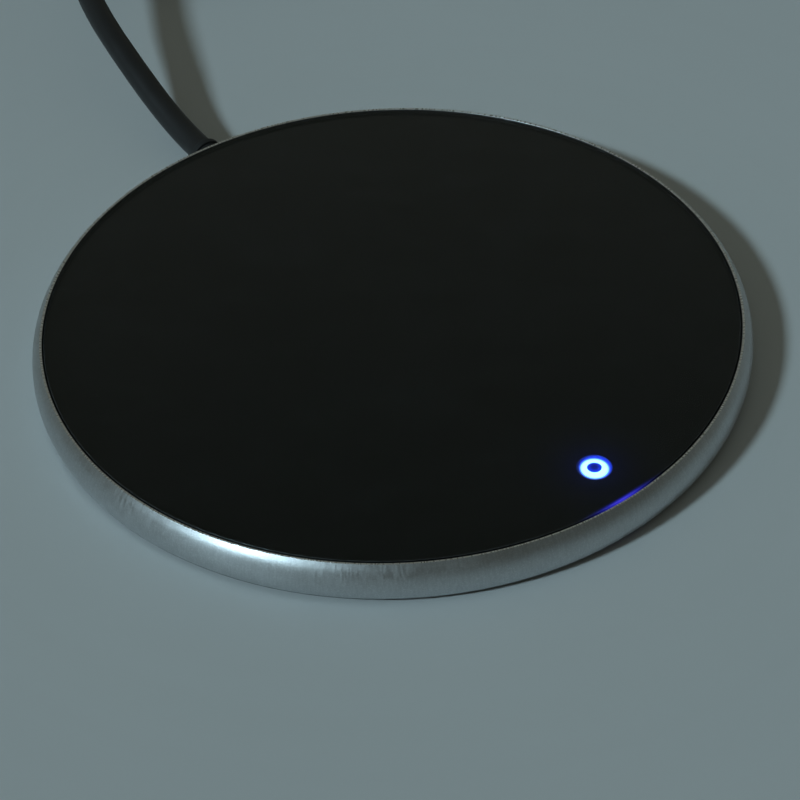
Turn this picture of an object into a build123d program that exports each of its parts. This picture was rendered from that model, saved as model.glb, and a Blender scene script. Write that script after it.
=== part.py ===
from build123d import *

import math
import os

# A slim round wireless charging pad with a captive USB cable, in millimetres.
# The origin is the centre of the pad, on the surface it stands on. +Z is up, and -Y is the pad's front.
# Angles are in degrees, counted anticlockwise from +X.

# Outside of the pad
pad_radius = 50.0  # widest point of the rim
pad_height = 6.0  # from the surface it stands on to the top of the lip
foot_gap = 0.7  # how far the rim and the base hang above that surface
fit_gap = 0.02  # between pieces that touch or are glued in real life
loose_gap = 0.1  # between pieces that drop into one another

# Rim
pocket_radius = 48.25  # inside of the lip
lip_chamfer = 0.1
lip_facet = (0.25, 0.05)  # width and rise of the cut facet that slopes in towards the plate
widest_height = 2.75  # where the rim's bulging side reaches furthest out
foot_round = 0.15
ledge_inner_radius = 45.6
ledge_thickness = 1.0
base_pocket_radius = 48.0

# Top plate and the layers under it
plate_radius = 48.15
plate_thickness = 1.0
plate_below_lip = 0.05
plate_bevel = 0.15
print_thickness = 0.06
print_inset = 0.15
adhesive_thickness = 0.1

# Base
floor_thickness = 0.7
wall_inner_radius = 46.8
foot_inner_radius = 41.0
foot_outer_radius = 46.0
foot_recess = 0.3
foot_groove_width = 0.5
foot_groove_depth = 0.2
label_recess_radius = 30.0
label_recess_depth = 0.15

# Screws that hold the base up against the rim's lugs
screw_circle_radius = 43.5
screw_count = 4
screw_first_angle = 78.0
screw_radius = 0.78
screw_head_radius = 1.5
screw_head_height = 0.9
screw_recess = (1.8, 0.36, 0.45)  # length, width and depth of each slot of the cross
boss_radius = 2.5
lug_radius = 2.5

# Circuit board
board_radius = 46.0
board_thickness = 0.8
board_standoff = 0.2
support_radii = (12.0, 24.0, 40.0)
support_width = 1.0
stake_circle_radius = 35.0
stake_count = 3
stake_radius = 0.8
stake_head_radius = 1.3
stake_head_height = 0.5

# Places of the parts on the board: a radius, and an angle from the direction of the cable
controller_place = (35.5, 90)
crystal_place = (41.5, 78)
inductor_place = (36.0, -28)
input_capacitor_places = [(35.0, angle) for angle in (-14, -9, 9, 14)]
transistor_places = [(radius, angle) for radius in (32.5, 37.0) for angle in (118, 126)]
resonance_capacitor_places = [(32.0, 146 + 5 * i) for i in range(5)]
controller_resistor_places = [(40.5, 86 + 3 * i) for i in range(8)]
light_resistor_places = [(37.0, 171 + 4 * i) for i in range(3)]

# Transmitter coil and its ferrite
coil_wire_radius = 0.45
coil_pitch = 0.96
coil_first_radius = 10.4
coil_turns = 14
coil_lead_length = 11.0  # straight outer lead, before it drops to the board
ferrite_radius = 26.5
ferrite_thickness = 0.9
thermistor_hole_radius = 1.6
film_thickness = 0.1
tape_thickness = 0.06
lead_slot_width = 1.3
lead_bend_radius = 4.0
bead_radius = 0.75
bead_leg_radius = 0.15

# Indicator light
light_circle_radius = 41.15
light_angle = -52.8
window_radius = 2.3
window_dot_radius = 0.95
shield_radius = 3.5
shield_bore_radius = 2.5
guide_radius = 2.4
guide_lift = 1.0
led_size = (3.0, 2.6, 0.7)

# Cable
cable_angle = 123.0  # direction in which the cable leaves the pad
cable_height = 3.2
cable_radius = 2.0
cable_bore_radius = 1.1
wire_radius = 0.45
wire_offset = 0.55
jacket_start_radius = 48.5
wire_start_radius = 38.5
cable_exit_radius = 52.2

# Grommet: a block locked in the base, a neck in the rim and a collar outside it
grommet_lock_radii = (44.5, 46.6)
grommet_lock_width = 7.0
grommet_neck_radius = 2.2
grommet_neck_bottom = 1.25
grommet_collar_radius = 2.55
grommet_collar_length = 1.25

# The cable springs up off the surface, crosses over its own coil, and winds outwards from inside it.
cable_rise = [(-40.8, 64.1, 7.2), (-47.1, 77.2, 9.9), (-51.4, 94.6, 11.4)]
cable_fall = [(190, 7.2), (130, 4.4)]  # angle about the cable's coil, and height
cable_coil_centre = Vector(-30.0, 133.0)
cable_coil_radius = 21.0  # its inside
cable_coil_pitch = 4.5
cable_coil_turns = 3
cable_bend_radius = 12.0

# USB-A plug at the end of the cable
plug_gap = 6.0  # straight cable between the last bend and the plug
relief_length = 9.0
relief_radii = (2.6, 3.3)
relief_core_radius = 2.35
relief_groove_count = 4
grip_size = (24.0, 16.0, 7.8)
grip_round = 1.6
thumb_recess = (13.0, 9.0, 0.3)
plug_jacket_depth = 5.0  # cable inside the grip
shell_size = (18.75, 12.0, 4.5)
shell_wall = 0.3
shell_round = 0.6
shell_embedded = 6.0
shell_hole = 2.4
shell_hole_spacing = 5.2
shell_hole_from_tip = 8.2
insulator_length = 8.5
tongue_thickness = 1.9
tongue_from_tip = 1.0
contact_width = 1.2
contact_thickness = 0.15
contact_length = 10.2
contact_places = [(-3.5, 2.0), (-1.0, 3.0), (1.0, 3.0), (3.5, 2.0)]  # across, and back from the tip

# Heights that follow from those
floor_top = foot_gap + floor_thickness
plate_top = pad_height - plate_below_lip
plate_bottom = plate_top - plate_thickness
print_top = plate_bottom - fit_gap
print_bottom = print_top - print_thickness
ledge_top = print_bottom - adhesive_thickness
ledge_bottom = ledge_top - ledge_thickness
foot_seat = foot_gap + foot_recess
board_bottom = floor_top + board_standoff
board_top = board_bottom + board_thickness
ferrite_bottom = board_top + fit_gap
ferrite_top = ferrite_bottom + ferrite_thickness
coil_height = ferrite_top + film_thickness + coil_wire_radius
coil_top = coil_height + coil_wire_radius
lead_height = board_top + fit_gap + coil_wire_radius
plug_height = grip_size[2] / 2

# Distances along the plug, from the start of its strain relief
shell_start = relief_length + grip_size[0] - shell_embedded
shell_end = relief_length + grip_size[0] + shell_size[0]
jacket_end = relief_length + plug_jacket_depth


def polar(radius, angle, height=0.0):
    """Point at a radius and an angle about the Z axis."""
    return Vector(radius * math.cos(math.radians(angle)), radius * math.sin(math.radians(angle)), height)


def slab(radius, bottom, top):
    """Disc about the Z axis between two heights."""
    return Pos(0, 0, (bottom + top) / 2) * Cylinder(radius, top - bottom)


def rod(radius, start, end):
    """Round bar about the X axis between two distances."""
    return Pos((start + end) / 2, 0, 0) * Rot(0, 90, 0) * Cylinder(radius, end - start)


def band(inner_radius, outer_radius, bottom, top):
    """Flat ring about the Z axis between two heights."""
    return slab(outer_radius, bottom, top) - slab(inner_radius, bottom - 1, top + 1)


def block(x_range, y_range, z_range):
    """Box between two X, two Y and two Z values."""
    size = [high - low for low, high in (x_range, y_range, z_range)]
    middle = [(high + low) / 2 for low, high in (x_range, y_range, z_range)]
    return Pos(*middle) * Box(*size)


def either_side(half_size):
    """Range of the given half size about zero."""
    return (-half_size, half_size)


def around(shape, count, first_angle=0.0):
    """The same shape repeated evenly about the Z axis."""
    return [Rot(0, 0, first_angle + 360 * i / count) * shape for i in range(count)]


# Body of the pad


def rim_section():
    """Half section of the rim: one bulging arc outside, and a ledge for the plate inside."""
    facet_width, facet_rise = lip_facet
    facet_inner = pocket_radius + lip_chamfer
    facet_bottom = pad_height - facet_rise
    lip_radius = facet_inner + facet_width
    rise = pad_height - widest_height
    run = pad_radius - lip_radius
    bulge_radius = (rise**2 + run**2) / (2 * run)
    drop = widest_height - foot_gap
    foot_outer = pad_radius - bulge_radius + math.sqrt(bulge_radius**2 - drop**2)
    side = ThreePointArc((lip_radius, pad_height), (pad_radius, widest_height), (foot_outer, foot_gap))
    inside = Polyline(
        (foot_outer, foot_gap),
        (base_pocket_radius, foot_gap),
        (base_pocket_radius, ledge_bottom),
        (ledge_inner_radius, ledge_bottom),
        (ledge_inner_radius, ledge_top),
        (pocket_radius, ledge_top),
        (pocket_radius, facet_bottom - lip_chamfer),
        (facet_inner, facet_bottom),
        (lip_radius, pad_height),
    )
    section = make_face([side, inside])
    return fillet(section.vertices().group_by(Axis.Y)[0].sort_by(Axis.X)[-1], foot_round)


def rim_frame():
    """The metal ring, with a lug for each base screw and a hole for the cable's grommet."""
    ring = revolve(Plane.XZ * rim_section(), Axis.Z)
    lug = Pos(screw_circle_radius, 0, 0) * slab(lug_radius, ledge_bottom, ledge_top)
    lug += block(
        (screw_circle_radius, ledge_inner_radius + 1), either_side(lug_radius), (ledge_bottom, ledge_top)
    )
    ring += around(lug, screw_count, screw_first_angle)
    ring -= around(screw_shank(screw_radius + fit_gap), screw_count, screw_first_angle)
    notch = block(
        (ledge_inner_radius - 1, base_pocket_radius),
        either_side(grommet_lock_width / 2 + loose_gap),
        (floor_top, ledge_top),
    )
    bore = Pos(0, 0, cable_height) * rod(grommet_neck_radius + fit_gap, wall_inner_radius, pad_radius + 1)
    return ring - Rot(0, 0, cable_angle) * (notch + bore)


def top_plate():
    """Clear plate with a bevelled upper edge."""
    plate = slab(plate_radius, plate_bottom, plate_top)
    return chamfer(plate.edges().group_by(Axis.Z)[-1], plate_bevel)


def print_mask():
    """Black layer under the plate, with a ring-shaped window whose centre dot is a piece of its own."""
    light = Pos(polar(light_circle_radius, light_angle))
    sheet = slab(plate_radius - print_inset, print_bottom, print_top)
    window = light * slab(window_radius, 0, pad_height)
    return Compound([sheet - window, light * slab(window_dot_radius, print_bottom, print_top)])


def plate_adhesive():
    return band(ledge_inner_radius + loose_gap, plate_radius - print_inset, ledge_top, print_bottom)


def base_cover():
    """Moulded tray: floor, wall, screw bosses, board supports, staked pins and a seat for the grommet."""
    tray_radius = base_pocket_radius - loose_gap
    tray = slab(tray_radius, foot_gap, floor_top)
    tray += band(wall_inner_radius, tray_radius, foot_gap, ledge_bottom - loose_gap)
    boss = Pos(screw_circle_radius, 0, 0) * slab(boss_radius, foot_seat, ledge_bottom)
    tray += around(boss, screw_count, screw_first_angle)
    tray -= band(foot_inner_radius, foot_outer_radius, foot_gap - 1, foot_seat)
    tray -= slab(label_recess_radius, foot_gap - 1, foot_gap + label_recess_depth)
    for radius in support_radii:
        tray += band(radius - support_width / 2, radius + support_width / 2, foot_seat, board_bottom)
    tray += around(board_stake(), stake_count, cable_angle + 180 / stake_count)
    tray += Rot(0, 0, cable_angle) * grommet_rib()
    tray -= around(screw_shank(screw_radius + loose_gap), screw_count, screw_first_angle)
    tray -= around(screw_head(loose_gap / 2), screw_count, screw_first_angle)
    channel = block(
        (grommet_lock_radii[1], pad_radius),
        either_side(grommet_neck_radius + loose_gap),
        (grommet_neck_bottom - fit_gap, pad_height),
    )
    return tray - Rot(0, 0, cable_angle) * channel


def grommet_rib():
    """Wall behind the grommet's block, with a slot for the two wires."""
    rear = grommet_lock_radii[0] - loose_gap
    half_width = grommet_lock_width / 2 + 1
    rib = block((rear - 1.1, rear), either_side(half_width), (foot_seat, ledge_bottom))
    slot_half_width = wire_offset + 2 * wire_radius
    slot = block((rear - 2, rear + 1), either_side(slot_half_width), (board_bottom, pad_height))
    return rib - slot


def board_stake():
    """Pin of the tray that passes through the board and is melted over into a flat head."""
    head_bottom = board_top + fit_gap
    pin = slab(stake_radius, foot_seat, head_bottom)
    head = slab(stake_head_radius, head_bottom, head_bottom + stake_head_height)
    head = fillet(head.edges().group_by(Axis.Z)[-1], stake_head_height / 2)
    return Pos(stake_circle_radius, 0, 0) * (pin + head)


def foot_ring():
    """Soft ring glued in the base's recess, over the screws, with two grooves in its underside."""
    ring = band(foot_inner_radius + loose_gap, foot_outer_radius - loose_gap, 0, foot_seat)
    ring = fillet(ring.edges().group_by(Axis.Z)[0], foot_groove_depth)
    third = (foot_outer_radius - foot_inner_radius) / 3
    for i in (1, 2):
        middle = foot_inner_radius + i * third
        ring -= band(middle - foot_groove_width / 2, middle + foot_groove_width / 2, -1, foot_groove_depth)
    return ring


def screw_shank(radius):
    return Pos(screw_circle_radius, 0, 0) * slab(radius, foot_seat + screw_head_height / 2, pad_height)


def screw_head(grow=0.0):
    head = Cone(screw_head_radius + grow, screw_radius + grow, screw_head_height)
    return Pos(screw_circle_radius, 0, foot_seat + screw_head_height / 2) * head


def base_screws():
    """Countersunk screws with a cross recess."""
    length, width, depth = screw_recess
    screw = screw_head() + screw_shank(screw_radius)
    screw -= slab(pad_radius, ledge_top - 3 * loose_gap, pad_height + 1)
    for size in ((length, width), (width, length)):
        screw -= Pos(screw_circle_radius, 0, foot_seat) * Box(*size, 2 * depth)
    return Compound(around(screw, screw_count, screw_first_angle))


# Board and what stands on it


def circuit_board():
    """Round board, notched round the screw bosses and the grommet's seat."""
    board = slab(board_radius, board_bottom, board_top)
    notch_radius = boss_radius + 4 * loose_gap
    notch = Pos(screw_circle_radius, 0, 0) * slab(notch_radius, 0, pad_height)
    notch += block((screw_circle_radius, pad_radius), either_side(notch_radius), (0, pad_height))
    pin_hole = Pos(stake_circle_radius, 0, 0) * slab(stake_radius + loose_gap, 0, pad_height)
    board -= around(notch, screw_count, screw_first_angle)
    board -= around(pin_hole, stake_count, cable_angle + 180 / stake_count)
    seat_half_width = grommet_lock_width / 2 + 1.5
    seat = block((screw_circle_radius - 1, pad_radius), either_side(seat_half_width), (0, pad_height))
    return board - Rot(0, 0, cable_angle) * seat


def on_board(shape, place):
    """The shape, standing on the board at a radius and at an angle from the direction of the cable."""
    radius, angle = place
    return Pos(polar(radius, cable_angle + angle, board_top)) * Rot(0, 0, cable_angle + angle) * shape


def chip(length, width, height):
    """A small board part: a block whose top edges are slightly broken."""
    body = block(either_side(length / 2), either_side(width / 2), (0, height))
    return chamfer(body.faces().sort_by(Axis.Z)[-1].edges(), loose_gap)


def chips(size, places):
    return Compound([on_board(chip(*size), place) for place in places])


def controller_chip():
    return on_board(chip(5.0, 5.0, 0.9), controller_place)


def power_transistors():
    """The full bridge that drives the coil."""
    return chips((3.3, 3.3, 0.9), transistor_places)


def resonance_capacitors():
    """Row of capacitors that tune the coil."""
    return chips((3.2, 1.6, 1.6), resonance_capacitor_places)


def input_capacitors():
    return chips((2.0, 1.25, 1.25), input_capacitor_places)


def filter_inductor():
    """Shielded inductor with rounded corners."""
    body = block(either_side(2.1), either_side(2.1), (0, 1.8))
    return on_board(fillet(body.edges().filter_by(Axis.Z), 0.8), inductor_place)


def crystal():
    return on_board(chip(3.2, 2.5, 0.8), crystal_place)


def chip_resistors():
    return chips((1.0, 0.5, 0.35), controller_resistor_places + light_resistor_places)


# Indicator light


def at_light(shape):
    return Pos(polar(light_circle_radius, light_angle)) * Rot(0, 0, light_angle) * shape


def status_led():
    return at_light(Pos(0, 0, board_top) * chip(*led_size))


def light_guide():
    """Short clear post above the indicator, hollowed to a shallow cone underneath to spread its light."""
    bottom = board_top + guide_lift
    dimple_depth = guide_lift / 2
    post = slab(guide_radius, bottom, print_bottom - 2 * fit_gap)
    dimple = Pos(0, 0, bottom + dimple_depth / 2) * Cone(window_radius * 0.6, loose_gap, dimple_depth)
    return at_light(post - dimple)


def light_shield():
    """Soft black sleeve that keeps the indicator's light inside the window."""
    return at_light(band(shield_bore_radius, shield_radius, board_top + fit_gap, print_bottom - fit_gap))


# Wires that bend


def spiral_arcs(start_radius, pitch, turns, start_angle, turn):
    """Flat outward spiral of half circles, from two centres a quarter pitch either side of its middle."""
    toward_start = polar(1, start_angle)
    arcs = []
    for i in range(2 * turns):
        side = 1 if i % 2 else -1
        radius = start_radius + pitch / 4 + i * pitch / 2
        centre = toward_start * (side * pitch / 4)
        arcs.append(CenterArc(centre, radius, start_angle + 180 * i, 180 * turn))
    return arcs


def level_change(start, heading, rise, bend_radius):
    """Two equal arcs that carry a wire to another height, and the point where they end."""
    turn = math.acos(1 - abs(rise) / 2 / bend_radius)
    run = heading * (bend_radius * math.sin(turn))
    short_run = heading * (bend_radius * math.sin(turn / 2))
    short_rise = Vector(0, 0, math.copysign(bend_radius * (1 - math.cos(turn / 2)), rise))
    middle = start + run + Vector(0, 0, rise / 2)
    end = start + run * 2 + Vector(0, 0, rise)
    first = ThreePointArc(start, start + short_run + short_rise, middle)
    second = ThreePointArc(middle, end - short_run - short_rise, end)
    return [first, second], end


def tube(path, radius, bore_radius=0.0, offset=0.0):
    """Round section swept along a path: hollow if it has a bore, beside the path if it has an offset."""
    section = Plane(origin=path @ 0, x_dir=Vector(0, 0, 1).cross(path % 0), z_dir=path % 0)
    profile = Pos(offset, 0) * Circle(radius)
    if bore_radius:
        profile -= Pos(offset, 0) * Circle(bore_radius)
    return sweep(section * profile, path=path)


# Coil, in its own directions: the slot for its inner lead runs along +Y


def turned_to_cable(shape):
    return Rot(0, 0, cable_angle) * shape


def transmitter_coil():
    """One wire: in along the ferrite's slot, up inside the coil, round it outwards, down to the board."""
    rise = coil_height - lead_height
    outward = Vector(0, 1, 0)
    slot_end = Vector(0, ferrite_radius + coil_lead_length / 3, lead_height)
    bend_start = Vector(0, lead_bend_radius * 1.6, lead_height)
    climb, climb_end = level_change(bend_start, outward * -1, rise, lead_bend_radius)
    middle = Vector(0, 0, coil_height)
    coil_start = Vector(coil_first_radius, 0, coil_height)
    loop_bottom = Vector(coil_first_radius / 2, -coil_first_radius / 2, coil_height)
    spiral = spiral_arcs(coil_first_radius, coil_pitch, coil_turns, 0, 1)
    winding = [Pos(0, 0, coil_height) * arc for arc in spiral]
    drop_start = winding[-1] @ 1 + outward * coil_lead_length
    drop, drop_end = level_change(drop_start, outward, -rise, lead_bend_radius)
    path = Wire(
        [Line(slot_end, bend_start), *climb, Line(climb_end, middle)]
        + [ThreePointArc(middle, loop_bottom, coil_start), *winding]
        + [Line(winding[-1] @ 1, drop_start), *drop, Line(drop_end, drop_end + outward * 2)]
    )
    return turned_to_cable(tube(path, coil_wire_radius))


def ferrite_sheet():
    """Disc with a slot for the coil's inner lead and a hole for the thermistor."""
    sheet = slab(ferrite_radius, ferrite_bottom, ferrite_top)
    sheet -= block(either_side(lead_slot_width / 2), (-1, ferrite_radius + 1), (0, pad_height))
    sheet -= Pos(coil_first_radius / 2, 0, 0) * slab(thermistor_hole_radius, 0, pad_height)
    return turned_to_cable(sheet)


def coil_adhesive():
    return band(coil_first_radius - 0.6, ferrite_radius - 1, ferrite_top, ferrite_top + film_thickness)


def coil_tape():
    return slab(ferrite_radius - 1, coil_top + fit_gap, coil_top + fit_gap + tape_thickness)


def thermistor():
    """Bead on two legs that feels the plate's warmth in the middle of the coil."""
    bead_height = coil_top - bead_radius - loose_gap
    bead = Pos(0, 0, bead_height) * Sphere(bead_radius)
    for side in (-bead_radius / 2, bead_radius / 2):
        bead += Pos(side, 0, 0) * slab(bead_leg_radius, board_top, bead_height)
    return turned_to_cable(Pos(coil_first_radius / 2, 0, 0) * bead)


# Cable


def cable_path(start_radius, plug_distance):
    """The cable's centre line, from a radius inside the pad to a distance along the plug."""
    along_plug = Vector(1, 0, 0)
    exit_point = polar(cable_exit_radius, cable_angle, cable_height)
    inside = Line(polar(start_radius, cable_angle, cable_height), exit_point)
    falling = [cable_coil_centre + polar(cable_coil_radius, angle, height) for angle, height in cable_fall]
    landing = cable_coil_centre + Vector(0, cable_coil_radius, cable_radius)
    spring = Spline(
        exit_point, *cable_rise, *falling, landing, tangents=(polar(1, cable_angle), along_plug)
    )
    spiral = spiral_arcs(cable_coil_radius, cable_coil_pitch, cable_coil_turns, 90, -1)
    winding = [Pos(cable_coil_centre + Vector(0, 0, cable_radius)) * arc for arc in spiral]
    climb, climb_end = level_change(
        winding[-1] @ 1, along_plug, plug_height - cable_radius, cable_bend_radius
    )
    tail = Line(climb_end, climb_end + along_plug * (plug_gap + plug_distance))
    return Wire([inside, spring, *winding, *climb, tail])


def cable_jacket():
    return tube(cable_path(jacket_start_radius, jacket_end), cable_radius, bore_radius=cable_bore_radius)


def cable_wire(side):
    return tube(cable_path(wire_start_radius, shell_start - 1), wire_radius, offset=side * wire_offset)


def cable_grommet():
    """Rubber bush moulded on the cable. Its neck is flattened where it passes under the plate."""
    lock_start, lock_end = grommet_lock_radii
    neck_top = ledge_top - fit_gap
    collar_start = pad_radius + fit_gap
    collar_end = collar_start + grommet_collar_length
    lock = block((lock_start, lock_end), either_side(grommet_lock_width / 2), (board_bottom, neck_top))
    at_cable = Pos(0, 0, cable_height)
    neck = at_cable * rod(grommet_neck_radius, lock_end, collar_start)
    neck &= block((0, collar_start), either_side(grommet_neck_radius), (grommet_neck_bottom, neck_top))
    neck += at_cable * rod(grommet_neck_radius, pocket_radius + 2 * loose_gap, collar_start)
    collar = rod(grommet_collar_radius, collar_start, collar_end)
    collar = at_cable * fillet(collar.edges().group_by(Axis.X)[-1], grommet_collar_length / 2.5)
    bush = lock + neck + collar
    bush -= at_cable * rod(cable_radius + fit_gap, jacket_start_radius, collar_end + 1)
    wire_bore = rod(wire_radius + fit_gap, lock_start - 1, jacket_start_radius)
    for side in (-wire_offset, wire_offset):
        bush -= at_cable * Pos(0, side, 0) * wire_bore
    return turned_to_cable(bush)


# Plug, made along +X from the start of its strain relief


def at_plug(shape):
    coil_outer_radius = cable_coil_radius + cable_coil_pitch * cable_coil_turns
    coil_end = cable_coil_centre + Vector(0, coil_outer_radius, cable_radius)
    _, climb_end = level_change(coil_end, Vector(1, 0, 0), plug_height - cable_radius, cable_bend_radius)
    return Pos(climb_end + Vector(plug_gap, 0, 0)) * shape


def strain_relief():
    """Tapering neck with grooves that let it bend."""
    relief = Pos(relief_length / 2 + 0.5, 0, 0) * Rot(0, 90, 0) * Cone(*relief_radii, relief_length + 1)
    pitch = relief_length / (relief_groove_count + 1)
    for i in range(relief_groove_count):
        start = pitch * (i + 0.7)
        groove = rod(2 * relief_radii[1], start, start + pitch * 0.4)
        relief -= groove - rod(relief_core_radius, start - 1, start + pitch)
    return relief


def shell_body(start, end, grow):
    """Block with the shell's outer section between two distances along the plug."""
    half_width, half_height = (size / 2 + grow for size in shell_size[1:])
    body = block((start, end), either_side(half_width), either_side(half_height))
    return fillet(body.edges().filter_by(Axis.X), shell_round + grow)


def plug_overmould():
    """Grip with a thumb recess on each broad side and a strain relief behind it."""
    length, width, height = grip_size
    recess_length, recess_width, recess_depth = thumb_recess
    grip = Pos(relief_length + length / 2, 0, 0) * Box(length, width, height)
    grip = fillet(grip.edges(), grip_round)
    for side in (-height / 2, height / 2):
        recess = Box(recess_length, recess_width, 2 * recess_depth)
        recess = fillet(recess.edges().filter_by(Axis.Z), recess_width / 3)
        grip -= Pos(relief_length + length / 2, 0, side) * recess
    body = grip + strain_relief()
    body -= rod(cable_radius + fit_gap, -1, jacket_end + fit_gap)
    wire_room = wire_offset + wire_radius + loose_gap
    body -= block((jacket_end - 1, shell_start), either_side(wire_room), either_side(wire_room / 2))
    return at_plug(body - shell_body(shell_start - fit_gap, shell_end, fit_gap))


def plug_shell():
    """Folded metal shell, with two square holes in each broad side."""
    shell = shell_body(shell_start, shell_end, 0)
    shell -= shell_body(shell_start - 1, shell_end + 1, -shell_wall)
    for side in (-shell_hole_spacing / 2, shell_hole_spacing / 2):
        hole = Box(shell_hole, shell_hole, 2 * shell_size[2])
        shell -= Pos(shell_end - shell_hole_from_tip, side, 0) * hole
    return at_plug(shell)


def plug_insulator():
    """Block at the back of the shell with the tongue that carries the contacts."""
    clearance = loose_gap / 2
    half_width, half_height = (size / 2 - shell_wall - clearance for size in shell_size[1:])
    corner = shell_round - shell_wall
    back_range = (shell_start + fit_gap, shell_start + insulator_length)
    back = block(back_range, either_side(half_width), either_side(half_height))
    tongue = block(
        (shell_start + insulator_length - 1, shell_end - tongue_from_tip),
        either_side(half_width),
        (-half_height, tongue_thickness - half_height),
    )
    tongue = fillet(tongue.edges().filter_by(Axis.X), corner)
    body = fillet(back.edges().filter_by(Axis.X), corner)
    body += chamfer(tongue.faces().sort_by(Axis.X)[-1].edges(), corner * 0.8)
    for strip in contact_strips(fit_gap):
        body -= strip
    return at_plug(body)


def contact_strips(grow=0.0):
    """Four flat contacts in the tongue. The outer two, for power, reach further."""
    top = tongue_thickness - shell_size[2] / 2 + shell_wall + loose_gap / 2
    strips = []
    for middle, reach in contact_places:
        strips.append(
            block(
                (shell_end - contact_length - grow, shell_end - reach + grow),
                (middle - contact_width / 2 - grow, middle + contact_width / 2 + grow),
                (top - contact_thickness - grow, top + grow),
            )
        )
    return strips


def plug_contacts():
    return at_plug(Compound(contact_strips()))


nodes = {
    "rim_frame": rim_frame(),
    "top_plate": top_plate(),
    "print_mask": print_mask(),
    "plate_adhesive": plate_adhesive(),
    "base_cover": base_cover(),
    "foot_ring": foot_ring(),
    "base_screws": base_screws(),
    "circuit_board": circuit_board(),
    "controller_chip": controller_chip(),
    "power_transistors": power_transistors(),
    "resonance_capacitors": resonance_capacitors(),
    "input_capacitors": input_capacitors(),
    "filter_inductor": filter_inductor(),
    "crystal": crystal(),
    "chip_resistors": chip_resistors(),
    "status_led": status_led(),
    "light_guide": light_guide(),
    "light_shield": light_shield(),
    "transmitter_coil": transmitter_coil(),
    "ferrite_sheet": ferrite_sheet(),
    "coil_adhesive": coil_adhesive(),
    "coil_tape": coil_tape(),
    "thermistor": thermistor(),
    "cable_jacket": cable_jacket(),
    "wire_red": cable_wire(1),
    "wire_black": cable_wire(-1),
    "cable_grommet": cable_grommet(),
    "plug_overmould": plug_overmould(),
    "plug_shell": plug_shell(),
    "plug_insulator": plug_insulator(),
    "plug_contacts": plug_contacts(),
}

os.makedirs("parts", exist_ok=True)
for name, shape in nodes.items():
    export_step(shape, f"parts/{name}.step")
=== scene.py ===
import math

import bpy
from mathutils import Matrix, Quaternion, Vector


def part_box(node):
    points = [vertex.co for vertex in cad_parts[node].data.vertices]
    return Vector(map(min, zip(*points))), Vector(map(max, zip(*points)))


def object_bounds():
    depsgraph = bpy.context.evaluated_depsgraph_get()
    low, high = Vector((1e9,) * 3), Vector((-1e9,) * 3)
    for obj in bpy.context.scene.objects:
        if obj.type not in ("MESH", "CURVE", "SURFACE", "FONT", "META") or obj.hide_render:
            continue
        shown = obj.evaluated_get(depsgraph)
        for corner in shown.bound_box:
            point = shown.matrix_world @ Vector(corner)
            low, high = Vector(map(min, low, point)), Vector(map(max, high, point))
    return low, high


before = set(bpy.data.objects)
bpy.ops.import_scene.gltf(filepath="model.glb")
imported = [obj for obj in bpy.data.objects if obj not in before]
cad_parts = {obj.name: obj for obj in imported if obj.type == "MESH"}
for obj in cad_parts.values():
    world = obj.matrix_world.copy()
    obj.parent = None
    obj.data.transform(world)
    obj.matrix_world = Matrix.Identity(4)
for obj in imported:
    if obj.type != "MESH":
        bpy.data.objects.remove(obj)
cad_low, cad_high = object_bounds()

MM = 0.001

# Sizes and places read from the frame, or measured from those
rim_low, rim_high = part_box("rim_frame")
plate_low, plate_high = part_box("top_plate")
guide_low, guide_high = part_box("light_guide")
plate_radius = plate_high.x
ridge_radius = plate_radius + 0.45 * MM  # outer edge of the rim's cut facet
light_centre = (guide_low + guide_high) / 2
light_angle = math.atan2(light_centre.y, light_centre.x)
window_radius = (guide_high.x - guide_low.x) / 2 - 0.1 * MM
dot_radius = 0.95 * MM  # printed dot in the middle of the window

# Colours of the indicator's light
near_white = (0.24, 0.60, 1.0)
deep_blue = (0.01, 0.05, 1.0)

# The Mix node has sockets of the same names for other kinds of value, so its colours go by number
MIX_A, MIX_B, MIXED = 6, 7, 2


# ---- Node helpers ----


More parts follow.
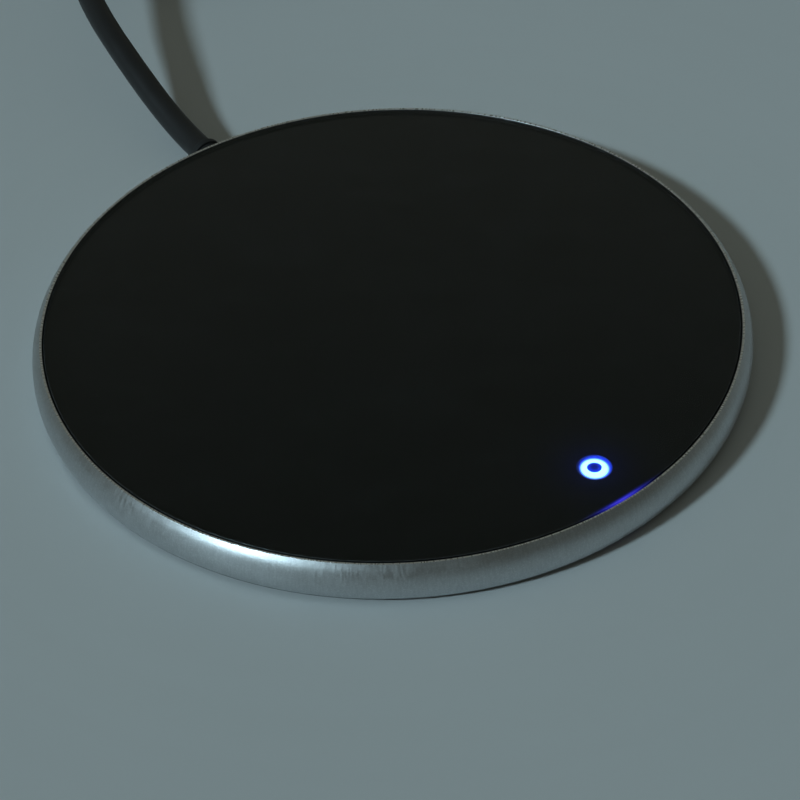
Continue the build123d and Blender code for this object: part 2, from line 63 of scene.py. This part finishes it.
class Graph:
    """A material's nodes. An input is a number, a colour, or another node's output."""

    def __init__(self, name):
        self.material = bpy.data.materials.new(name)
        self.material.use_nodes = True
        self.tree = self.material.node_tree
        self.tree.nodes.clear()
        self.place = self.node("ShaderNodeTexCoord").outputs["Object"]

    def node(self, kind, inputs=None, **settings):
        node = self.tree.nodes.new(kind)
        for name, value in settings.items():
            setattr(node, name, value)
        for name, value in (inputs or {}).items():
            self.feed(node.inputs[name], value)
        return node

    def feed(self, socket, value):
        if isinstance(value, bpy.types.NodeSocket):
            self.tree.links.new(value, socket)
        elif hasattr(socket.default_value, "__len__") and len(socket.default_value) == 4:
            socket.default_value = (*value, 1.0)[:4]
        else:
            socket.default_value = value

    def math(self, operation, a, b=0.0):
        return self.node("ShaderNodeMath", {0: a, 1: b}, operation=operation).outputs[0]

    def add(self, a, b):
        return self.math("ADD", a, b)

    def multiply(self, a, b):
        return self.math("MULTIPLY", a, b)

    def opposite(self, share):
        return self.math("SUBTRACT", 1.0, share)

    def vector(self, operation, a, b=(0.0, 0.0, 0.0)):
        node = self.node("ShaderNodeVectorMath", {0: a, 1: b}, operation=operation)
        return node.outputs["Value" if operation == "LENGTH" else "Vector"]

    def noise(self, size, detail=2.0, stretch=(1.0, 1.0, 1.0), roughness=0.5):
        """Cloudy pattern between 0 and 1, whose blotches are about the given size in metres."""
        place = self.vector("MULTIPLY", self.place, stretch)
        inputs = {"Vector": place, "Scale": 1 / size, "Detail": detail, "Roughness": roughness}
        return self.node("ShaderNodeTexNoise", inputs).outputs["Fac"]

    def span(self, value, low, high, to_low=0.0, to_high=1.0):
        """Maps low..high smoothly to to_low..to_high, held at the ends."""
        inputs = {"Value": value, "From Min": low, "From Max": high, "To Min": to_low, "To Max": to_high}
        return self.node("ShaderNodeMapRange", inputs, interpolation_type="SMOOTHSTEP").outputs["Result"]

    def mix(self, share, a, b):
        """Colour a where share is 0, b where it is 1."""
        node = self.node("ShaderNodeMix", data_type="RGBA")
        self.feed(node.inputs["Factor"], share)
        self.feed(node.inputs[MIX_A], a)
        self.feed(node.inputs[MIX_B], b)
        return node.outputs[MIXED]

    def bump(self, height, depth):
        """Surface relief: height is 0 to 1, and depth is in metres."""
        return self.node("ShaderNodeBump", {"Height": height, "Distance": depth}).outputs["Normal"]

    def spokes(self, size, length):
        """Pattern of short streaks that point at the upright axis, about as wide as the size given."""
        flat = self.vector("MULTIPLY", self.place, (1.0, 1.0, 0.0))
        around = self.vector("MULTIPLY", self.vector("NORMALIZE", flat), (rim_high.x,) * 3)
        inward = self.vector("MULTIPLY", self.place, (size / length,) * 3)
        inputs = {"Vector": self.vector("ADD", around, inward), "Scale": 1 / size, "Detail": 2.0}
        return self.node("ShaderNodeTexNoise", inputs).outputs["Fac"]

    def radius(self, centre=(0.0, 0.0)):
        """Distance from an upright axis."""
        offset = self.vector("SUBTRACT", self.place, (*centre, 0.0))
        return self.vector("LENGTH", self.vector("MULTIPLY", offset, (1.0, 1.0, 0.0)))

    def axes(self):
        return self.node("ShaderNodeSeparateXYZ", {0: self.place}).outputs

    def bell(self, value, middle, width):
        """Smooth hump of height 1 about a middle value."""
        offset = self.math("DIVIDE", self.math("SUBTRACT", value, middle), width)
        return self.math("EXPONENT", self.multiply(self.multiply(offset, offset), -1.0))

    def principled(self, **inputs):
        named = {name.replace("_", " "): value for name, value in inputs.items()}
        return self.node("ShaderNodeBsdfPrincipled", named)

    def finish(self, shader):
        output = self.node("ShaderNodeOutputMaterial")
        self.tree.links.new(shader.outputs[0], output.inputs["Surface"])
        return self.material


# ---- Materials ----


def satin_aluminium():
    """Satin, anodised metal: a cut facet round the plate, and black glue on the wall beside it.

    Its sheen spreads a little more across the rim than along it, and its foot is drawn darker as painted
    shade.
    """
    graph = Graph("satin_aluminium")
    radius = graph.radius()
    height = graph.axes()["Z"]
    at_top = graph.span(height, rim_high.z - 0.09 * MM, rim_high.z - 0.06 * MM)
    inside_ridge = graph.span(radius, ridge_radius + 0.02 * MM, ridge_radius - 0.02 * MM)
    facet = graph.multiply(at_top, inside_ridge)
    glue = graph.span(radius, plate_radius + 0.15 * MM, plate_radius + 0.13 * MM)
    # Painted shade: the rim darkens towards its foot, standing in for the shaded gap under it
    painted_foot_shade = graph.span(height, rim_low.z + 0.08 * MM, rim_low.z + 0.42 * MM, 0.85, 0.0)
    cloud = graph.noise(7 * MM, detail=3.0)
    grain = graph.noise(0.22 * MM, detail=3.0, roughness=0.65)
    streaks = graph.spokes(0.3 * MM, 1.5 * MM)
    tint = graph.mix(cloud, (0.55, 0.56, 0.57), (0.60, 0.61, 0.62))
    tint = graph.mix(graph.span(streaks, 0.35, 0.65, 0.35, 0.0), tint, (0.42, 0.43, 0.44))
    tint = graph.mix(graph.span(grain, 0.45, 0.7, 0.0, 0.35), tint, (0.82, 0.83, 0.84))
    tint = graph.mix(painted_foot_shade, tint, (0.05, 0.05, 0.05))
    tint = graph.mix(facet, tint, (0.92, 0.92, 0.93))
    tint = graph.mix(glue, tint, (0.01, 0.01, 0.01))
    rough = graph.add(graph.span(cloud, 0.3, 0.7, 0.39, 0.43), graph.span(streaks, 0.3, 0.7, -0.05, 0.05))
    rough = graph.add(rough, graph.multiply(facet, -0.12))
    relief = graph.add(graph.multiply(grain, 0.6), graph.multiply(streaks, 0.4))
    relief = graph.multiply(relief, graph.opposite(facet))
    return graph.finish(
        graph.principled(
            Base_Color=tint,
            Metallic=graph.opposite(glue),
            Roughness=rough,
            Anisotropic=0.3,
            Anisotropic_Rotation=0.25,
            Tangent=graph.node("ShaderNodeTangent", direction_type="RADIAL", axis="Z").outputs[0],
            Normal=graph.bump(relief, 0.018 * MM),
            # Painted light: the indicator's blue glow is drawn as emission on the rim beside the plate's
            # edge
            Emission_Color=(0.06, 0.10, 1.0),
            Emission_Strength=graph.multiply(light_leak(graph), 0.12),
        )
    )


def light_leak(graph):
    """Share of the indicator's light that reaches the plate's edge: a hump over its nearest stretch."""
    axes = graph.axes()
    angle = graph.math("ARCTAN2", axes["Y"], axes["X"])
    along = graph.bell(angle, light_angle - math.radians(1.9), math.radians(3.6))
    across = graph.bell(graph.radius(), plate_radius - 0.10 * MM, 0.26 * MM)
    return graph.multiply(along, across)


def clear_plate():
    """Polished clear plate with a blackened edge, faint wipe marks and blue light in its bevel.

    Its underside mirrors nothing, because the print is bonded to it.
    """
    graph = Graph("clear_plate")
    smear = graph.noise(14 * MM, detail=4.0, stretch=(1.0, 2.6, 1.0))
    blacked = graph.span(graph.radius(), plate_radius - 0.17 * MM, plate_radius - 0.14 * MM)
    rough = graph.add(graph.span(smear, 0.35, 0.75, 0.035, 0.10), graph.multiply(blacked, 0.45))
    underside = graph.span(graph.axes()["Z"], plate_low.z + 0.02 * MM, plate_low.z + 0.01 * MM)
    shine = graph.mix(blacked, (0.58, 0.69, 0.68), (0.10, 0.12, 0.12))
    leak = light_leak(graph)
    return graph.finish(
        graph.principled(
            Base_Color=graph.mix(blacked, (0.98, 0.985, 1.0), (0.004, 0.004, 0.005)),
            Roughness=rough,
            IOR=1.49,
            Specular_Tint=graph.mix(underside, shine, (0.0, 0.0, 0.0)),
            Transmission_Weight=graph.opposite(blacked),
            Emission_Color=graph.mix(leak, (0.02, 0.03, 1.0), (0.07, 0.06, 1.0)),
            Emission_Strength=graph.multiply(leak, 0.6),
        )
    )


def black_print():
    """Opaque black ink. Light from the indicator scatters round the window and into its centre dot.

    The dot glows most towards its front edge, and light spills over its front and rear edges.
    """
    graph = Graph("black_print")
    speckle = graph.noise(0.4 * MM, detail=2.0)
    distance = graph.radius((light_centre.x, light_centre.y))
    dot = graph.span(distance, dot_radius + 0.15 * MM, dot_radius + 0.35 * MM, 1.0, 0.0)
    from_rear = graph.radius((light_centre.x, light_centre.y + 0.04 * MM))
    from_front = graph.radius((light_centre.x, light_centre.y - 0.22 * MM))
    farther = graph.math("MAXIMUM", from_rear, from_front)
    spill = graph.span(farther, dot_radius - 0.05 * MM, dot_radius + 0.15 * MM)
    glow = graph.span(from_rear, 0.2 * MM, dot_radius + 0.1 * MM, 0.2, 1.0)
    glow = graph.add(glow, graph.multiply(spill, 1.8))
    inside_window = graph.math("SUBTRACT", window_radius, distance)
    halo = graph.math("EXPONENT", graph.math("DIVIDE", inside_window, 2.0 * MM))
    strength = graph.add(graph.multiply(halo, 0.012), graph.multiply(dot, glow))
    strength = graph.add(strength, graph.multiply(light_leak(graph), 0.6))
    return graph.finish(
        graph.principled(
            Base_Color=graph.mix(speckle, (0.002, 0.002, 0.0022), (0.004, 0.004, 0.0044)),
            Roughness=graph.span(speckle, 0.3, 0.7, 0.5, 0.65),
            Specular_IOR_Level=0.05,
            Emission_Color=graph.mix(graph.multiply(dot, spill), deep_blue, near_white),
            Emission_Strength=strength,
        )
    )


def lit_guide():
    """Frosted light guide: a near-white ring a little nearer the front, and blue fading round it."""
    graph = Graph("lit_guide")
    distance = graph.radius((light_centre.x, light_centre.y - 0.2 * MM))
    inner = graph.span(distance, 0.4 * MM, 0.75 * MM)
    outer = graph.span(distance, 1.5 * MM, 2.08 * MM, 1.0, 0.0)
    ring = graph.multiply(inner, outer)
    from_blue = graph.radius((light_centre.x + 0.16 * MM, light_centre.y + 0.10 * MM))
    blue = graph.span(from_blue, window_radius - 0.55 * MM, window_radius + 0.04 * MM, 0.95, 0.06)
    frost = graph.noise(0.3 * MM)
    strength = graph.add(graph.multiply(ring, 2.2), blue)
    strength = graph.multiply(strength, graph.span(frost, 0.2, 0.8, 0.92, 1.08))
    return graph.finish(
        graph.principled(
            Base_Color=(0.02, 0.04, 0.2),
            Roughness=0.5,
            Emission_Color=graph.mix(ring, deep_blue, near_white),
            Emission_Strength=strength,
        )
    )


def moulded(name, colour, rough, grain_size, depth, specular=0.5):
    """Moulded or extruded plastic or rubber: a fine grain, and a slow drift in colour and shine."""
    graph = Graph(name)
    drift = graph.noise(12 * MM, detail=3.0)
    grain = graph.noise(grain_size, detail=3.0, roughness=0.6)
    darker = tuple(channel * 0.8 for channel in colour)
    lighter = tuple(channel * 1.5 for channel in colour)
    tint = graph.mix(graph.span(drift, 0.3, 0.7), darker, colour)
    tint = graph.mix(graph.multiply(grain, 0.3), tint, lighter)
    shine = graph.span(drift, 0.3, 0.7, rough - 0.05, rough + 0.05)
    shine = graph.add(shine, graph.multiply(grain, 0.06))
    return graph.finish(
        graph.principled(
            Base_Color=tint, Roughness=shine, Specular_IOR_Level=specular, Normal=graph.bump(grain, depth)
        )
    )


def plated(name, colour, rough):
    """Plated metal with fine rubbing marks along the part."""
    graph = Graph(name)
    rubbed = graph.noise(0.12 * MM, detail=2.0, stretch=(0.06, 1.0, 1.0))
    drift = graph.noise(4 * MM, detail=2.0)
    tint = graph.mix(graph.span(drift, 0.3, 0.7), tuple(channel * 0.9 for channel in colour), colour)
    shine = graph.add(graph.span(drift, 0.3, 0.7, rough, rough + 0.08), graph.multiply(rubbed, 0.12))
    return graph.finish(
        graph.principled(
            Base_Color=tint, Metallic=1.0, Roughness=shine, Normal=graph.bump(rubbed, 0.002 * MM)
        )
    )


def solder_mask():
    """Green coating over copper tracks, which show as slightly lighter, raised lines."""
    graph = Graph("solder_mask")
    flat_place = graph.vector("MULTIPLY", graph.place, (1.0, 1.0, 0.0))
    inputs = {"Vector": flat_place, "Scale": 1 / (2.4 * MM), "Randomness": 0.3}
    cells = graph.node("ShaderNodeTexVoronoi", inputs, feature="DISTANCE_TO_EDGE")
    track = graph.span(cells.outputs["Distance"], 0.10, 0.14, 1.0, 0.0)
    drift = graph.noise(6 * MM)
    tint = graph.mix(drift, (0.010, 0.11, 0.05), (0.014, 0.15, 0.065))
    tint = graph.mix(graph.multiply(track, 0.6), tint, (0.05, 0.28, 0.11))
    return graph.finish(
        graph.principled(Base_Color=tint, Roughness=0.28, Normal=graph.bump(track, 0.02 * MM))
    )


# ---- Which piece has which finish ----

black_pvc = moulded("black_pvc", (0.018, 0.018, 0.019), 0.42, 0.25 * MM, 0.006 * MM)
black_abs = moulded("black_abs", (0.022, 0.022, 0.024), 0.5, 0.22 * MM, 0.012 * MM)
black_silicone = moulded("black_silicone", (0.03, 0.03, 0.031), 0.62, 0.5 * MM, 0.008 * MM, 0.35)
black_rubber = moulded("black_rubber", (0.02, 0.02, 0.021), 0.55, 0.35 * MM, 0.006 * MM, 0.4)
black_epoxy = moulded("black_epoxy", (0.03, 0.03, 0.032), 0.5, 0.1 * MM, 0.003 * MM)
tan_ceramic = moulded("tan_ceramic", (0.52, 0.38, 0.24), 0.4, 0.15 * MM, 0.002 * MM)
grey_ferrite = moulded("grey_ferrite", (0.09, 0.09, 0.095), 0.6, 0.2 * MM, 0.006 * MM)
zinc_steel = plated("zinc_steel", (0.62, 0.62, 0.60), 0.3)
nickel_shell = plated("nickel_shell", (0.72, 0.70, 0.66), 0.2)
glowing = lit_guide()

finishes = {
    "rim_frame": satin_aluminium(),
    "top_plate": clear_plate(),
    "print_mask": black_print(),
    "plate_adhesive": moulded("adhesive_film", (0.10, 0.10, 0.10), 0.7, 0.3 * MM, 0.004 * MM),
    "base_cover": black_abs,
    "foot_ring": black_silicone,
    "base_screws": zinc_steel,
    "circuit_board": solder_mask(),
    "controller_chip": black_epoxy,
    "power_transistors": black_epoxy,
    "resonance_capacitors": tan_ceramic,
    "input_capacitors": tan_ceramic,
    "filter_inductor": grey_ferrite,
    "crystal": nickel_shell,
    "chip_resistors": black_epoxy,
    "status_led": glowing,
    "light_guide": glowing,
    "light_shield": black_rubber,
    "transmitter_coil": plated("copper_litz", (0.80, 0.42, 0.24), 0.3),
    "ferrite_sheet": grey_ferrite,
    "coil_adhesive": moulded("coil_film", (0.10, 0.10, 0.10), 0.7, 0.3 * MM, 0.004 * MM),
    "coil_tape": moulded("amber_film", (0.55, 0.28, 0.04), 0.3, 0.4 * MM, 0.002 * MM),
    "thermistor": black_epoxy,
    "cable_jacket": black_pvc,
    "wire_red": moulded("red_insulation", (0.5, 0.02, 0.02), 0.4, 0.2 * MM, 0.003 * MM),
    "wire_black": moulded("black_insulation", (0.02, 0.02, 0.02), 0.4, 0.2 * MM, 0.003 * MM),
    "cable_grommet": black_rubber,
    "plug_overmould": black_pvc,
    "plug_shell": nickel_shell,
    "plug_insulator": moulded("ivory_plastic", (0.75, 0.74, 0.70), 0.45, 0.2 * MM, 0.003 * MM),
    "plug_contacts": plated("gold_contact", (0.95, 0.70, 0.30), 0.2),
}

for node, finish in finishes.items():
    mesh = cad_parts[node].data
    mesh.materials.clear()
    mesh.materials.append(finish)


# ---- Floor, light and camera ----


def floor():
    """Pale round table top just under the pad's feet, so wide that its edge is the horizon."""
    mesh = bpy.data.meshes.new("floor")
    radius = 40.0
    sides = 96
    turns = [math.tau * side / sides for side in range(sides)]
    edge = [(radius * math.cos(turn), radius * math.sin(turn), 0.0) for turn in turns]
    mesh.from_pydata(edge, [], [range(sides)])
    top = bpy.data.objects.new("floor", mesh)
    top.location.z = cad_low.z - 0.02 * MM
    bpy.context.scene.collection.objects.link(top)
    graph = Graph("floor")
    cloud = graph.noise(60 * MM, detail=4.0)
    mesh.materials.append(
        graph.finish(
            graph.principled(
                Base_Color=graph.mix(cloud, (0.71, 0.73, 0.735), (0.75, 0.77, 0.775)),
                Roughness=graph.span(cloud, 0.3, 0.7, 0.42, 0.5),
                Specular_IOR_Level=0.35,
            )
        )
    )


def surroundings(backdrop, front, rear):
    """Even backdrop for the camera, of the floor's tone.

    The walls that light the object are dimmer, most of all in front.
    """
    world = bpy.data.worlds.new("studio")
    bpy.context.scene.world = world
    world.use_nodes = True
    tree = world.node_tree
    tree.nodes.clear()

    def add(kind, **settings):
        node = tree.nodes.new(kind)
        for name, value in settings.items():
            setattr(node, name, value)
        return node

    direction = add("ShaderNodeTexCoord")
    axes = add("ShaderNodeSeparateXYZ")
    depth = add("ShaderNodeMapRange", interpolation_type="SMOOTHSTEP")
    depth.inputs["From Min"].default_value = -0.5
    depth.inputs["From Max"].default_value = 0.7
    walls = add("ShaderNodeMix", data_type="RGBA")
    walls.inputs[MIX_A].default_value = (*front, 1.0)
    walls.inputs[MIX_B].default_value = (*rear, 1.0)
    seen = add("ShaderNodeMix", data_type="RGBA")
    seen.inputs[MIX_B].default_value = (*backdrop, 1.0)
    path = add("ShaderNodeLightPath")
    background = add("ShaderNodeBackground")
    output = add("ShaderNodeOutputWorld")
    tree.links.new(direction.outputs["Generated"], axes.inputs[0])
    tree.links.new(axes.outputs["Y"], depth.inputs["Value"])
    tree.links.new(depth.outputs[0], walls.inputs["Factor"])
    tree.links.new(path.outputs["Is Camera Ray"], seen.inputs["Factor"])
    tree.links.new(walls.outputs[MIXED], seen.inputs[MIX_A])
    tree.links.new(seen.outputs[MIXED], background.inputs["Color"])
    tree.links.new(background.outputs[0], output.inputs["Surface"])


def sun(name, azimuth, elevation, spread, strength, colour, shines=False):
    """Soft parallel light. Azimuth is counted anticlockwise from +X, and spread is its angular size.

    It lights either matt surfaces or, where shines is true, the sheen of glossy ones.
    """
    data = bpy.data.lights.new(name, "SUN")
    data.angle = math.radians(spread)
    data.energy = strength
    data.color = colour
    lamp = bpy.data.objects.new(name, data)
    turn = math.radians(azimuth)
    rise = math.radians(elevation)
    away = Vector((math.cos(turn) * math.cos(rise), math.sin(turn) * math.cos(rise), math.sin(rise)))
    lamp.location = away * 0.5
    lamp.rotation_mode = "QUATERNION"
    lamp.rotation_quaternion = away.to_track_quat("Z", "Y")
    lamp.visible_glossy = shines
    lamp.visible_diffuse = not shines
    bpy.context.scene.collection.objects.link(lamp)


def camera():
    """The camera looks down on the pad from the front, tilted a little to one side."""
    distance = 277.9 * MM  # from the middle of the plate
    elevation = math.radians(39.76)
    roll = math.radians(-2.44)
    aim = Vector((0.64 * MM, -19.15 * MM, plate_high.z))
    data = bpy.data.cameras.new("camera")
    data.sensor_width = 36.0
    data.lens = 90.0
    data.clip_start = 10 * MM
    eye = bpy.data.objects.new("camera", data)
    back = distance * math.cos(elevation)
    up = distance * math.sin(elevation)
    eye.location = Vector((0, -back, plate_high.z + up))
    forward = (aim - eye.location).normalized()
    level = forward.to_track_quat("-Z", "Y")
    eye.rotation_mode = "QUATERNION"
    eye.rotation_quaternion = Quaternion(forward, -roll) @ level
    bpy.context.scene.collection.objects.link(eye)
    bpy.context.scene.camera = eye


floor()
surroundings(backdrop=(0.154, 0.199, 0.207), front=(0.058, 0.064, 0.056), rear=(0.105, 0.115, 0.099))
lamp_elevation = 36
lamp_colour = (0.64, 0.885, 1.0)
sun("key", 210, lamp_elevation, 7, 1.25, lamp_colour)
sun("sheen", 221, lamp_elevation, 8, 1.38, lamp_colour, shines=True)
camera()
bpy.context.scene.view_settings.view_transform = "Standard"
